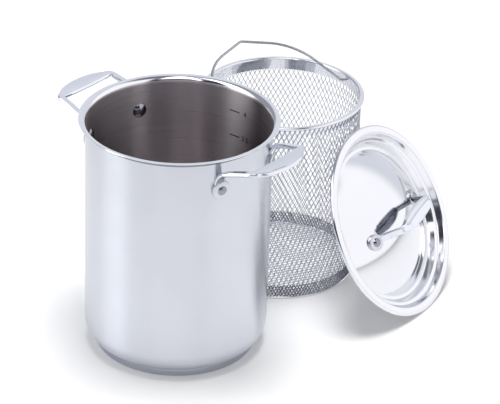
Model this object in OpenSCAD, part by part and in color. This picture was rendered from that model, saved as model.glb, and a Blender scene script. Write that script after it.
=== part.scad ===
// Asparagus pot: a tall steel pot with two cast handles, a stepped lid with the same
// handle, and a mesh basket with a wire bail. Millimetres, +Z up, the origin at the
// middle of the pot's underside, the two side handles along X.

/* [Pot] */
// Inside diameter of the pot
pot_d = 160; // [150:1:180]
// Height of the pot from the table to its rim
pot_h = 217; // [190:1:240]
// Thickness of the pot's sheet
wall_t = 1; // [0.8:0.1:1.4]
// Outer radius of the rounded corner at the bottom
corner_r = 20; // [14:1:26]
// Radius of the flare at the rim
flare_r = 4.6; // [3.5:0.1:5.5]
// How far the flared rim turns over, in degrees from the wall
flare_turn = 105; // [90:1:120]

/* [Base] */
// Diameter of the base disc
base_d = 142; // [136:1:146]
// Thickness of the base disc under the pot's floor
base_t = 4; // [3:0.1:6]
// Rounding of the base disc's lower edge
base_round = 1.2; // [0.5:0.1:2]

/* [Side handles] */
// Distance between the two rivets of one handle
rivet_gap = 66; // [60:1:70]
// Depth of the rivets below the rim
rivet_drop = 30; // [28:1:36]
// Distance from the wall to the outer edge of the grip
grip_reach = 41.5; // [38:0.5:46]
// Depth of the grip's top below the rim
grip_drop = 3; // [2:0.5:6]
// Distance between the two arms where they leave the wall
arm_spread = 71; // [68:1:74]
// Distance between the two arms where they meet the grip
arm_gap = 65; // [62:1:68]
// How far the arms fall from the grip to the wall
arm_fall = 6.5; // [4:0.5:8]

/* [Grips] */
// Length of the wide part of a grip
grip_l = 65; // [60:1:70]
// Width of a grip at its middle
grip_w = 18; // [15:0.5:21]
// Thickness of a grip
grip_t = 5.6; // [5:0.1:7]
// Width of the arms
arm_w = 7; // [6:0.5:9]
// Thickness of the arms
arm_t = 4.3; // [3.8:0.1:5]
// Length of the oval dish in a grip
dish_l = 52; // [44:1:56]
// Width of the oval dish
dish_w = 14; // [11:0.5:15]
// Depth of the oval dish
dish_depth = 1.8; // [1:0.1:2.2]

/* [Rivets] */
// Diameter of the round pads under the rivets
pad_d = 17; // [15:0.5:18]
// Thickness of those pads
pad_t = 3.2; // [3:0.1:4]
// Diameter of a rivet's shank
shank_d = 5; // [4:0.1:6]
// Diameter of the small heads on the pads
head_d = 8.4; // [7.5:0.1:9]
// Height of the small heads
head_h = 1.8; // [1.2:0.1:2.4]
// Diameter of the large heads inside the pot
inner_head_d = 13; // [11:0.5:15]
// Height of the large heads
inner_head_h = 2.6; // [2:0.1:3.2]

/* [Lid] */
// Overhang of the lid past the rim of the pot
lid_overhang = 1.8; // [1:0.1:3]
// Thickness of the lid's sheet
lid_t = 1; // [0.8:0.1:1.1]
// Height of the lid's turned-down edge
lid_edge = 2.8; // [2.5:0.1:3.5]
// Clearance of the lid's step inside the pot
lid_clear = 0.8; // [0.5:0.1:1.2]
// Height of the first step of the lid
step_h = 6; // [5:0.5:7]
// Width of that step's ledge
ledge_w = 3.6; // [3:0.1:4.5]
// Depth of the lid's channel below its flange
channel_h = 13; // [12:0.5:15]
// Diameter of the dome at its foot
dome_d = 136; // [130:1:140]
// Rise of the dome above the channel
dome_rise = 21; // [18:0.1:26]

/* [Lid handle] */
// Distance between the two rivets of the lid handle
lid_rivet_gap = 81; // [76:1:88]
// Height of the grip's top above the flange
lid_grip_h = 30; // [26:1:34]
// Width of the lid handle's grip
lid_grip_w = 17; // [14:0.5:20]
// Diameter of the lid handle's pads
lid_pad_d = 15; // [14:0.5:17]

/* [Basket] */
// Diameter of the basket over its rolled rim
basket_d = 150; // [140:1:152]
// Height of the basket
basket_h = 176; // [160:1:190]
// Diameter of the rolled bead
bead_d = 3; // [2.6:0.1:3.4]
// Overhang of the bead past the mesh
bead_out = 2.8; // [2.2:0.1:3.6]
// Thickness of the mesh
mesh_t = 1; // [0.8:0.1:1.4]
// Thickness of the sheet of the rim band
band_t = 0.8; // [0.6:0.1:1.2]
// Height of the rim band
band_h = 11; // [10:0.5:14]
// Height of the folded mesh at the bottom
fold_h = 10; // [6:0.5:14]
// Diameter of the bottom hoop
hoop_d = 2.4; // [2:0.1:3]
// Number of gaps around the mesh
gap_columns = 20; // [16:2:20]
// Number of staggered rows of gaps
gap_rows = 6; // [4:1:6]
// Width of the steel between the gaps
rib_w = 3.4; // [2.5:0.1:4.5]

/* [Bail] */
// Diameter of the bail's wire
wire_d = 2.4; // [2.2:0.1:3]
// Height of the bail from its pivots to its peak
bail_h = 73.5; // [68:0.5:78]
// Depth of the pivots below the top of the basket
pivot_drop = 5; // [4.8:0.1:7]
// Radial clearance of the wire in its holes
pivot_clear = 0.25; // [0.2:0.05:0.4]
// Slope of the bail's top bars, in degrees
bail_slope = 22; // [18:1:26]
// Slope of the bail's legs, in degrees
leg_slope = 71; // [68:1:76]
// Radius of the bail's shoulders
shoulder_r = 54; // [44:1:60]
// Radius of the bends at the bail's feet
foot_r = 3.5; // [3:0.5:5]
// Lean of the bail from upright, in degrees
bail_lean = 68.5; // [55:0.5:75]

/* [Layout] */
// Gap between the rim of the pot and the rim of the basket
basket_gap = 5; // [4:1:20]
// Direction from the pot to the basket, in degrees from X
basket_dir = 95.9; // [88:0.1:104]
// Direction of the bail's pivots, in degrees from X
pivot_dir = 73; // [60:0.1:100]
// Direction from the basket to the lid, in degrees from X
lid_dir = 8.8; // [0:0.1:20]
// Lean of the lid from upright, in degrees
lid_lean = 29.1; // [24:0.1:34]
// Turn of the lid's handle in the plane of the lid, in degrees
lid_spin = 7; // [0:1:20]

/* [Hidden] */
$fn = 96;
seat = 0.3;                 // how near a leaning piece lies to what carries it
cut = 1;                    // how far a cutter reaches past what it cuts
polished = "#cdd2da";
brushed = "#a9a9ad";
cast_steel = "#bfc3cb";

wall_r = pot_d / 2 + wall_t;
rim_r = wall_r + flare_r * (1 + sin(flare_turn - 90));
rivet_z = pot_h - rivet_drop;
rivet_a = asin(rivet_gap / 2 / wall_r);
shank_r = shank_d / 2;

lid_r = rim_r + lid_overhang;
step_r = pot_d / 2 - lid_clear - lid_t;
flange_r = step_r + 2.4;
dome_r = dome_d / 2;
dome_ball = (dome_r * dome_r + dome_rise * dome_rise) / (2 * dome_rise);
dome_top = dome_rise - channel_h;
dome_c = dome_top - dome_ball;
dome_a = asin(dome_r / dome_ball);
lid_rivet_a = asin(lid_rivet_gap / 2 / dome_ball);
channel_r = dome_r + 3.4;

mesh_out = basket_d / 2 - bead_out;
mesh_in = mesh_out - mesh_t;
band_in = mesh_in - band_t;
bead_z = basket_h - bead_d / 2;
pivot_z = basket_h - pivot_drop;
wall_top = basket_h - bead_d - 0.2;

basket_far = rim_r + basket_gap + basket_d / 2;
basket_x = basket_far * cos(basket_dir);
basket_y = basket_far * sin(basket_dir);

// Small helpers for outlines
function lerp(a, b, t) = a + (b - a) * t;
function unit(v) = v / norm(v);
function arc(c, r, a0, a1, n) =
    [for (i = [0:n]) c + r * [cos(a0 + (a1 - a0) * i / n), sin(a0 + (a1 - a0) * i / n)]];
function turn(a) = a > 180 ? a - 360 : (a < -180 ? a + 360 : a);

// A corner b between a and c, rounded with radius r
function rounded_corner(a, b, c, r, n = 6) =
    let (u = unit(a - b), v = unit(c - b), half = acos(u * v) / 2,
         m = b + unit(u + v) * r / sin(half),
         s = b + u * r / tan(half) - m, e = b + v * r / tan(half) - m,
         a0 = atan2(s[1], s[0]), a1 = a0 + turn(atan2(e[1], e[0]) - a0))
    arc(m, r, a0, a1, n);

// A path through corners [x, y, radius]; a radius of 0 keeps the corner sharp
function rounded_path(p) =
    [for (i = [0:len(p) - 1])
        let (b = [p[i][0], p[i][1]])
        for (q = (i == 0 || i == len(p) - 1 || p[i][2] == 0) ? [b]
               : rounded_corner([p[i - 1][0], p[i - 1][1]], b, [p[i + 1][0], p[i + 1][1]], p[i][2]))
            q];

// A sheet of thickness t on one side of a path that ends on the axis or at an edge
function side_normal(p, i) =
    let (d = unit(p[min(i + 1, len(p) - 1)] - p[max(i - 1, 0)])) [-d[1], d[0]];
function sheet(p, t) =
    concat(p, [for (i = [len(p) - 1:-1:0])
        let (q = p[i] + t * side_normal(p, i)) [max(0, q[0]), q[1]]]);

// Pot
// Outer face of the pot from its lip down to the middle of its floor
function pot_face() = concat(
    arc([wall_r + flare_r, pot_h - wall_t - flare_r], flare_r, 180 - flare_turn, 180, 14),
    arc([wall_r - corner_r, base_t + corner_r], corner_r, 0, -90, 14),
    [[0, base_t]]);

module at_rivets() {
    for (side = [0, 180], a = [-rivet_a, rivet_a])
        rotate([0, 0, side + a]) translate([0, 0, rivet_z]) rotate([0, 90, 0]) children();
}

module pot_body() {
    color(polished) difference() {
        rotate_extrude() polygon(sheet(pot_face(), -wall_t));
        at_rivets() translate([0, 0, wall_r - wall_t - cut]) cylinder(r = shank_r, h = wall_t + 2 * cut);
    }
}

// The base disc is dished, so that it wraps a little way up the pot's round corner.
module base_disc() {
    color(brushed) difference() {
        rotate_extrude() polygon(concat([[0, 0]],
            arc([base_d / 2 - base_round, base_round], base_round, -90, 0, 6),
            [[base_d / 2, base_t + corner_r], [0, base_t + corner_r]]));
        rotate_extrude() polygon(concat([[0, base_t]],
            arc([wall_r - corner_r, base_t + corner_r], corner_r, -90, 0, 14),
            [[wall_r, base_t + corner_r + cut], [0, base_t + corner_r + cut]]));
    }
}

// Cast handles
// A handle is swept through stations. Each station is
// [x, y, z, width, thickness, k]: k is 0 where the strap lies against the wall, and
// 1 where its broad face looks up. The stations run from one pad to the middle of the
// grip, and the other half is their mirror image.
function mirrored(s) = concat(s, [for (i = [len(s) - 2:-1:0])
    [s[i][0], -s[i][1], s[i][2], s[i][3], s[i][4], s[i][5]]]);
function spline(a, b, c, d, t) =
    0.5 * (2 * b + (c - a) * t + (2 * a - 5 * b + 4 * c - d) * t * t
           + (3 * b - a - 3 * c + d) * t * t * t);
function stations_between(s, n) =
    [for (i = [0:len(s) - 2], j = [0:n - 1])
        spline(s[max(i - 1, 0)], s[i], s[i + 1], s[min(i + 2, len(s) - 1)], j / n),
     s[len(s) - 1]];

// Section of a handle at offset u across it (-1 to 1): the top is level with a rounded
// edge, and the oval dish is sunk into it; the underside is a half oval.
top_u = [0.94, 0.84, 0.72, 0.55, 0.3, 0, -0.3, -0.55, -0.72, -0.84, -0.94];
under_n = 7;
function edge_drop(u) = abs(u) > 0.72 ? 0.36 * pow((abs(u) - 0.72) / 0.22, 2) : 0;
function dish(y, x) = dish_depth * max(0, 1 - pow(2 * y / dish_l, 2) - pow(2 * x / dish_w, 2));
function handle_section(w, t, y, dished) = concat(
    [for (u = top_u) [u * w / 2, t * (0.5 - edge_drop(u)) - (dished ? dish(y, u * w / 2) : 0)]],
    [for (i = [0:under_n - 1]) let (a = 180 + 180 * i / (under_n - 1))
        [cos(a) * w / 2, sin(a) * t / 2]]);

function section_frame(p, i) =
    let (a = p[max(i - 1, 0)], b = p[min(i + 1, len(p) - 1)],
         tangent = unit([b[0] - a[0], b[1] - a[1], b[2] - a[2]]),
         k = p[i][5],
         guide = k >= 1 ? [0, 0, 1] : k * [0, 0, 1] - (1 - k) * unit([p[i][0], p[i][1], 0]),
         up = unit(guide - tangent * (guide * tangent)))
    [cross(up, tangent), up];
function handle_rings(stations, dished) =
    let (p = stations_between(mirrored(stations), 4))
    [for (i = [0:len(p) - 1])
        let (f = section_frame(p, i), c = [p[i][0], p[i][1], p[i][2]])
        [for (q = handle_section(p[i][3], p[i][4], p[i][1], dished)) c + f[0] * q[0] + f[1] * q[1]]];

module sweep(rings) {
    n = len(rings[0]);
    last = len(rings) - 1;
    points = [for (ring = rings) for (q = ring) q];
    walls = [for (i = [0:last - 1], j = [0:n - 1])
        let (a = i * n + j, b = i * n + (j + 1) % n)
        for (f = [[a, b + n, b], [a, a + n, b + n]]) f];
    polyhedron(points, concat(walls,
        [[for (j = [0:n - 1]) j], [for (j = [n - 1:-1:0]) last * n + j]]), convexity = 8);
}

// A station of a grip at y. Its top is level and it narrows towards its ends: about its
// inner edge at x = inner where that edge is straight, or else about its middle.
function grip_station(y, w, top, straight, inner) =
    let (s = sqrt(max(0, 1 - pow(2 * y / grip_l, 2))), gw = max(arm_w, w * s),
         t = arm_t + (grip_t - arm_t) * s)
    [inner + (straight ? gw : w) / 2, y, top - t / 2, gw, t, 1];

// Side handle, on the +X side of the pot
grip_in = wall_r + grip_reach - grip_w;
grip_top = rivet_drop - grip_drop;
corner_x = grip_in + arm_w / 2;
arm_top_z = grip_top - arm_t / 2;
arm_low_z = arm_top_z - arm_fall;
arm_y = arm_spread / 2;
strap_sink = 1;             // how far the strap reaches into the wall, before it is cut
strap_t = pad_t + strap_sink - 0.5;
strap_out = strap_t / 2 - strap_sink;
function beside_wall(out) = sqrt(pow(wall_r + out, 2) - arm_y * arm_y);
arm_x = beside_wall(10);    // where an arm is clear of the wall and turns level
function side_stations() = concat([
    [beside_wall(strap_out), arm_y, -1, arm_w + 2, strap_t, 0],
    [beside_wall(strap_out + 0.4), arm_y, arm_low_z * 0.45, arm_w + 1, strap_t + 0.6, 0],
    [beside_wall(4.5), arm_y, arm_low_z * 0.82, arm_w, arm_t + 0.4, 0.45],
    [arm_x, arm_y, arm_low_z, arm_w, arm_t, 1],
    [lerp(arm_x, corner_x, 0.55), lerp(arm_y, arm_gap / 2, 0.6), lerp(arm_low_z, arm_top_z, 0.6),
        arm_w, arm_t, 1],
    [lerp(arm_x, corner_x, 0.96), arm_gap / 2, arm_top_z, arm_w, arm_t, 1]],
    [for (y = [0.84, 0.6, 0.4, 0.2, 0] * grip_l / 2)
        grip_station(y, grip_w, grip_top, true, grip_in)]);

module side_handle() {
    difference() {
        union() {
            translate([0, 0, rivet_z]) sweep(handle_rings(side_stations(), true));
            for (a = [-rivet_a, rivet_a]) rotate([0, 0, a])
                translate([wall_r - cut, 0, rivet_z]) rotate([0, 90, 0])
                    cylinder(d = pad_d, h = pad_t + cut);
        }
        cylinder(r = wall_r, h = pot_h, $fn = 360);
        for (a = [-rivet_a, rivet_a]) rotate([0, 0, a]) translate([0, 0, rivet_z]) rotate([0, 90, 0]) {
            translate([0, 0, wall_r - 2 * cut]) cylinder(r = shank_r, h = pad_t + 3 * cut);
            translate([0, 0, wall_r + pad_t]) cylinder(d = head_d + 0.6, h = grip_t);
        }
    }
}

module left_handle() { color(cast_steel) rotate([0, 0, 180]) side_handle(); }
module right_handle() { color(cast_steel) side_handle(); }

// Rivets
// A domed head whose flat lies at z = 0
module rivet_dome(d, h) {
    ball = (d * d / 4 + h * h) / (2 * h);
    rotate_extrude() polygon(concat([[0, 0]], arc([0, h - ball], ball, 90 - asin(d / 2 / ball), 90, 8)));
}

// The large head is seated on the round inside of the pot.
module handle_rivets() {
    color(polished) at_rivets() {
        translate([0, 0, wall_r - wall_t - cut]) cylinder(r = shank_r, h = wall_t + pad_t + cut);
        translate([0, 0, wall_r + pad_t]) rivet_dome(head_d, head_h);
    }
    color(polished) intersection() {
        at_rivets() translate([0, 0, wall_r - wall_t - 0.4]) rotate([180, 0, 0]) {
            rivet_dome(inner_head_d, inner_head_h);
            translate([0, 0, -2]) cylinder(d = inner_head_d, h = 2);
        }
        translate([0, 0, rivet_z - inner_head_d])
            cylinder(r = wall_r - wall_t, h = 2 * inner_head_d, $fn = 360);
    }
}

// Lid, in its own frame: the flange's top is z = 0 and the handle runs along Y.
function lid_face() = rounded_path(concat([
    [lid_r, -lid_edge, 0],
    [lid_r, 0, 2.2],
    [flange_r, 0, 2],
    [step_r, -step_h, 1.3],
    [step_r - ledge_w, -step_h - 0.5, 1.3],
    [channel_r, -channel_h, 1.5],
    [dome_r, -channel_h, 1.5]],
    [for (i = [1:20]) let (a = dome_a * (1 - i / 20))
        [dome_ball * sin(a), dome_c + dome_ball * cos(a), 0]]));

// The ball that the dome is a cap of, grown by t
module dome_solid(t) {
    rotate_extrude() polygon(concat([[0, dome_c]],
        arc([0, dome_c], dome_ball + t, 90 - dome_a, 90, 20)));
}
module on_dome(a) { translate([0, 0, dome_c]) rotate([a, 0, 0]) translate([0, 0, dome_ball]) children(); }
module at_lid_rivets() { for (a = [-lid_rivet_a, lid_rivet_a]) on_dome(a) children(); }

module lid_shell() {
    difference() {
        rotate_extrude() polygon(sheet(lid_face(), lid_t));
        at_lid_rivets() translate([0, 0, -lid_t - cut]) cylinder(r = shank_r, h = lid_t + 2 * cut);
    }
}

lid_head_d = inner_head_d - 2;
lid_head_h = inner_head_h - 0.4;
lid_pad_y = lid_rivet_gap / 2;
lid_pad_z = dome_c + (dome_ball + pad_t / 2) * cos(lid_rivet_a);
lid_arm_z = lid_grip_h - arm_t / 2;
lid_arm_h = lid_arm_z - lid_pad_z;
function lid_stations() = concat([
    [0, lid_pad_y, lid_pad_z, arm_w + 2, pad_t, 1],
    [0, lid_pad_y - 4.5, lid_pad_z + 1.6, arm_w + 1, arm_t - 0.3, 1],
    [0, lid_pad_y - 8, lid_pad_z + lid_arm_h * 0.28, arm_w, arm_t, 1],
    [0, lid_pad_y - 10.5, lid_pad_z + lid_arm_h * 0.62, arm_w, arm_t, 1],
    [0, lid_pad_y - 13, lid_pad_z + lid_arm_h * 0.92, arm_w + 0.5, arm_t, 1]],
    [for (y = [0.68, 0.5, 0.33, 0.16, 0] * grip_l / 2)
        grip_station(y, lid_grip_w, lid_grip_h, false, -lid_grip_w / 2)]);

module lid_handle_shape() {
    difference() {
        union() {
            sweep(handle_rings(lid_stations(), true));
            at_lid_rivets() translate([0, 0, -cut]) cylinder(d = lid_pad_d, h = pad_t + cut);
        }
        dome_solid(0);
        at_lid_rivets() {
            translate([0, 0, -cut]) cylinder(r = shank_r, h = grip_t + cut);
            translate([0, 0, pad_t]) cylinder(d = head_d + 0.6, h = grip_t);
        }
    }
}

module lid_rivets_shape() {
    at_lid_rivets() {
        translate([0, 0, -lid_t - cut]) cylinder(r = shank_r, h = lid_t + pad_t + cut);
        translate([0, 0, pad_t]) rivet_dome(head_d, head_h);
    }
    intersection() {
        at_lid_rivets() translate([0, 0, -lid_t - 0.2]) rotate([180, 0, 0]) {
            rivet_dome(lid_head_d, lid_head_h);
            translate([0, 0, -cut]) cylinder(d = lid_head_d, h = cut);
        }
        dome_solid(-lid_t);
    }
}

// The lid stands on its edge and leans with its channel on the basket's mesh.
lid_outline = sheet(lid_face(), lid_t);
lid_z = max([for (q = lid_outline) q[0] * cos(lid_lean) - q[1] * sin(lid_lean)]);
lid_far = mesh_out + seat + max([for (q = lid_outline) q[0] * sin(lid_lean) - q[1] * cos(lid_lean)]);
module lid_place() {
    translate([basket_x + lid_far * cos(lid_dir), basket_y + lid_far * sin(lid_dir), lid_z])
        rotate([0, 0, lid_dir]) rotate([0, 90 - lid_lean, 0]) rotate([0, 0, lid_spin]) children();
}

module lid() { color(polished) lid_place() lid_shell(); }
module lid_handle() { color(cast_steel) lid_place() lid_handle_shape(); }
module lid_rivets() { color(polished) lid_place() lid_rivets_shape(); }

// Basket
module basket_place() { translate([basket_x, basket_y, 0]) children(); }
module pivot_holes() {
    translate([0, 0, pivot_z]) rotate([0, 0, pivot_dir]) rotate([0, 90, 0])
        cylinder(d = wire_d + 2 * pivot_clear, h = basket_d + 2 * cut, center = true);
}

// A band of sheet inside the mesh, turned outwards into a rolled bead
module basket_rim_band() {
    color(polished) basket_place() difference() {
        rotate_extrude() {
            translate([band_in, basket_h - band_h]) square([band_t, band_h - bead_d / 2 + band_t]);
            translate([band_in, bead_z]) square([basket_d / 2 - bead_d / 2 - band_in, band_t]);
            translate([basket_d / 2 - bead_d / 2, bead_z]) circle(d = bead_d);
        }
        pivot_holes();
    }
}

// Diamond gaps in staggered rows, between the folded bottom and the rim band
gap_low = hoop_d + fold_h + rib_w;
gap_high = basket_h - band_h - rib_w;
gap_pitch = (gap_high - gap_low) * 2 / (gap_rows + 1);
gap_across = 2 * PI * mesh_out / gap_columns;
rib_lean = atan2(gap_across, gap_pitch);
gap_l = gap_pitch - rib_w / sin(rib_lean);
gap_w = gap_across - rib_w / cos(rib_lean);
module diamond(w, l) { polygon([[w / 2, 0], [0, l / 2], [-w / 2, 0], [0, -l / 2]]); }

module basket_wall() {
    color(brushed) basket_place() difference() {
        rotate_extrude() translate([mesh_in, hoop_d]) square([mesh_t, wall_top - hoop_d]);
        for (row = [0:gap_rows - 1], column = [0:gap_columns - 1])
            translate([0, 0, gap_low + gap_pitch * (row + 1) / 2])
                rotate([0, 0, (column + (row % 2) / 2) * 360 / gap_columns]) rotate([90, 0, 90])
                    translate([0, 0, mesh_in - cut])
                        linear_extrude(height = mesh_t + 2 * cut) diamond(gap_w, gap_l);
        pivot_holes();
    }
}

// The floor is the same mesh, laid flat on the hoop
floor_pitch = 18;
floor_cells = floor(mesh_in / floor_pitch);
module basket_floor() {
    color(brushed) basket_place() translate([0, 0, hoop_d]) linear_extrude(height = mesh_t) difference() {
        circle(r = mesh_in);
        for (i = [-floor_cells:floor_cells], j = [-floor_cells:floor_cells])
            if (norm([i, j]) * floor_pitch < mesh_in - floor_pitch * 0.7)
                translate([i, j] * floor_pitch) diamond(floor_pitch - rib_w, floor_pitch - rib_w);
    }
}

module basket_bottom_hoop() {
    color(polished) basket_place()
        rotate_extrude() translate([mesh_in + mesh_t / 2, hoop_d / 2]) circle(d = hoop_d);
}

// Bail, drawn in the XZ plane with its pivots on the X axis
wire_r = wire_d / 2;
wire_sides = 12;
pin_l = 4;
peak_r = 6;
foot_x = band_in - 1.2;
leg_a = 180 - leg_slope;
top_a = 180 - bail_slope;
leg_x = foot_x - foot_r * sin(leg_a);
leg_z = foot_r * (1 + cos(leg_a));
shoulder_dx = shoulder_r * (sin(leg_a) - sin(top_a));
shoulder_dz = shoulder_r * (cos(leg_a) - cos(top_a));
bars_meet = bail_h + peak_r * (1 / cos(bail_slope) - 1);
leg_l = (bars_meet - leg_z - shoulder_dz - (leg_x - shoulder_dx) * tan(bail_slope))
        / (sin(leg_slope) - cos(leg_slope) * tan(bail_slope));
shoulder_x = leg_x - leg_l * cos(leg_slope);
shoulder_z = leg_z + leg_l * sin(leg_slope);

// Middle line from the right foot to the peak: foot bend, leg, shoulder and top bar
bail_foot = arc([foot_x, foot_r], foot_r, -90, -90 - leg_slope, 6);
bail_shoulder = arc([shoulder_x - shoulder_r * sin(leg_a), shoulder_z + shoulder_r * cos(leg_a)],
                    shoulder_r, leg_a - 90, top_a - 90, 8);
bail_peak = arc([0, bail_h - peak_r], peak_r, 90 - bail_slope, 90, 2);
bail_line = concat(bail_foot, bail_shoulder, bail_peak);
function wire_ring(p, i, r) =
    let (d = unit(p[min(i + 1, len(p) - 1)] - p[max(i - 1, 0)]))
    [for (j = [0:wire_sides - 1]) let (a = 360 * j / wire_sides)
        [p[i][0] + r * cos(a) * d[1], r * sin(a), p[i][1] - r * cos(a) * d[0]]];

module bail() {
    n = len(bail_line);
    path = concat(bail_line, [for (i = [n - 2:-1:0]) [-bail_line[i][0], bail_line[i][1]]]);
    plug = [[foot_x + pin_l / 2, 0], [foot_x, 0]];
    whole = concat(plug, [for (i = [1:len(path) - 2]) path[i]], [-plug[1], -plug[0]]);
    last = len(whole) - 1;
    color(polished) basket_place() translate([0, 0, pivot_z])
        rotate([0, 0, pivot_dir]) rotate([-bail_lean, 0, 0]) {
            sweep([for (i = [0:last]) wire_ring(whole, i,
                i == 0 || i == last ? wire_r * 0.7 : (i == 1 || i == last - 1 ? wire_r * 0.96 : wire_r))]);
            for (side = [-1, 1]) translate([side * (foot_x + pin_l / 2), 0, 0]) rotate([0, 90, 0])
                cylinder(r = wire_r, h = pin_l, center = true, $fn = 36);
        }
}

pot_body();
base_disc();
left_handle();
right_handle();
handle_rivets();
lid();
lid_handle();
lid_rivets();
basket_rim_band();
basket_wall();
basket_floor();
basket_bottom_hoop();
bail();
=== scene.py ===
# %% [markdown]
# # An asparagus pot with its lid and mesh basket
#
# The real object is a tall steel pot, polished like a mirror outside and brushed to a satin
# inside, with two cast loop handles. Its pressed lid carries the same handle, and a basket of
# woven steel wire stands behind it. The solids of the part come in first and fix every size.
# Then each surface is modelled again, finely enough for a mirror finish, which shows facets
# that a matt finish would hide.

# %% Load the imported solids
import math

import bmesh
import bpy
from mathutils import Matrix, Vector


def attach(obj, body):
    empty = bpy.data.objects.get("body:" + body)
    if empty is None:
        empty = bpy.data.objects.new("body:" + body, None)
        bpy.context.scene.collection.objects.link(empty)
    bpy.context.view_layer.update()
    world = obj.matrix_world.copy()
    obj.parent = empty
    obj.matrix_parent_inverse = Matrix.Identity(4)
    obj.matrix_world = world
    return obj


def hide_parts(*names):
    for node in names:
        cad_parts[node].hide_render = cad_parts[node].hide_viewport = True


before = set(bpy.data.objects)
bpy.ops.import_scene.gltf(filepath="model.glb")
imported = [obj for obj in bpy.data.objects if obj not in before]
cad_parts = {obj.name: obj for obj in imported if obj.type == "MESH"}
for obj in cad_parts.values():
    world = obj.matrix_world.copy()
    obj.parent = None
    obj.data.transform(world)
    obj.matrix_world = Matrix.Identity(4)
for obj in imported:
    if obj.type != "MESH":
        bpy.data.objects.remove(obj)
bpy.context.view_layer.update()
MM = 0.001
print("solids:", ", ".join(sorted(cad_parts)))

# %% [markdown]
# ## The camera first
#
# The camera looks from the same place as the photographer's. The pot's rim and base are
# circles, so their ellipses gave the height, the distance and the slight roll. The lens is
# long, as product photographers use it, and the ellipses of the rim and of the base have nearly
# the same shape.

# %% Set up the camera
CAMERA_PLACE = Vector((1408.4, -1697.3, 1328.05)) * MM
CAMERA_AZIMUTH = math.radians(38.05)
CAMERA_HEIGHT_ANGLE = math.radians(28.38)
CAMERA_ROLL = math.radians(1.92)
LENS_MM = 206.9
SENSOR_MM = 36.0


def camera_axes(azimuth, height, roll):
    """Right, up and back of a camera that looks down at the origin's side from an azimuth."""
    back = Vector((math.sin(azimuth) * math.cos(height), -math.cos(azimuth) * math.cos(height),
                   math.sin(height)))
    level = Vector((math.cos(azimuth), math.sin(azimuth), 0))
    up = back.cross(level)
    right = level * math.cos(roll) + up * math.sin(roll)
    return right, back.cross(right), back


def add_camera():
    lens = bpy.data.cameras.new("camera")
    lens.lens = LENS_MM
    lens.sensor_width = SENSOR_MM
    lens.sensor_fit = "HORIZONTAL"
    lens.clip_end = 20
    camera = bpy.data.objects.new("camera", lens)
    bpy.context.scene.collection.objects.link(camera)
    right, up, back = camera_axes(CAMERA_AZIMUTH, CAMERA_HEIGHT_ANGLE, CAMERA_ROLL)
    turned = Matrix((right, up, back)).transposed().to_4x4()
    camera.matrix_world = Matrix.Translation(CAMERA_PLACE) @ turned
    bpy.context.scene.camera = camera


add_camera()
bpy.context.scene.view_settings.view_transform = "Standard"
print("camera at", [round(x, 3) for x in CAMERA_PLACE])

# %% [markdown]
# ## Sizes
#
# The sizes are those of the solids, in millimetres, so each new surface lies exactly where its
# solid lies. The pot's own sizes come first, and each other piece brings its own.

# %% The pot's sizes
WALL_R = 81.0
POT_H = 217.0
WALL_T = 1.0
CORNER_R = 20.0
FLARE_R = 4.6
FLARE_TURN = 105
BASE_T = 4.0
print("pot:", 2 * (WALL_R - WALL_T), "mm wide inside,", POT_H, "mm high")

# %% [markdown]
# ## Drawing an outline and turning it
#
# A spun or pressed pot is round, so it is drawn as half of its section and turned round the
# upright axis. The outline is drawn as by hand: one point, then extruded from point to point.
# Spin then makes the shell. Arcs get many short steps here, because a mirror shows each one.

# %% Tools for outlines
SPIN_STEPS = 160
SAME_PLACE = 2e-6


def nothing_selected():
    """Leaves edit mode and deselects everything."""
    if bpy.context.object and bpy.context.object.mode != "OBJECT":
        bpy.ops.object.mode_set(mode="OBJECT")
    bpy.ops.object.select_all(action="DESELECT")


def arc(centre, radius, start, end, steps):
    """Points of an arc, in degrees, both ends included."""
    angles = [math.radians(start + (end - start) * i / steps) for i in range(steps + 1)]
    return [(centre[0] + radius * math.cos(a), centre[1] + radius * math.sin(a)) for a in angles]


def rounded(corners, steps):
    """A path through corners (x, z, radius), each rounded with its radius."""
    path = []
    for i, (x, z, radius) in enumerate(corners):
        if radius == 0 or i in (0, len(corners) - 1):
            path.append((x, z))
            continue
        here = Vector((x, z))
        before = (Vector(corners[i - 1][:2]) - here).normalized()
        after = (Vector(corners[i + 1][:2]) - here).normalized()
        half = before.angle(after) / 2
        middle = here + (before + after).normalized() * radius / math.sin(half)
        first = here + before * radius / math.tan(half) - middle
        last = here + after * radius / math.tan(half) - middle
        start = math.degrees(math.atan2(first.y, first.x))
        sweep = (math.degrees(math.atan2(last.y, last.x)) - start + 180) % 360 - 180
        path += arc(middle, radius, start, start + sweep, steps)
    return path


def thickened(path, thick):
    """A closed outline: the path, and the same path moved sideways, back to its start."""
    moved = []
    for i, point in enumerate(path):
        along = Vector(path[min(i + 1, len(path) - 1)]) - Vector(path[max(i - 1, 0)])
        along.normalize()
        moved.append((max(0.0, point[0] - along.y * thick), point[1] + along.x * thick))
    return list(path) + moved[::-1]


# %% Draw an outline and spin it


def draw_outline(name, points):
    """Draws a chain of edges in the XZ plane, from point to point, in edit mode."""
    nothing_selected()
    bpy.ops.mesh.primitive_plane_add(size=MM, location=(0, 0, 0))
    piece = bpy.context.object
    piece.name = name
    bpy.ops.object.mode_set(mode="EDIT")
    bpy.ops.mesh.merge(type="CENTER")
    bpy.ops.transform.translate(value=(points[0][0] * MM, 0, points[0][1] * MM))
    for a, b in zip(points, points[1:]):
        step = ((b[0] - a[0]) * MM, 0, (b[1] - a[1]) * MM)
        bpy.ops.mesh.extrude_region_move(TRANSFORM_OT_translate={"value": step})
    return piece


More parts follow.
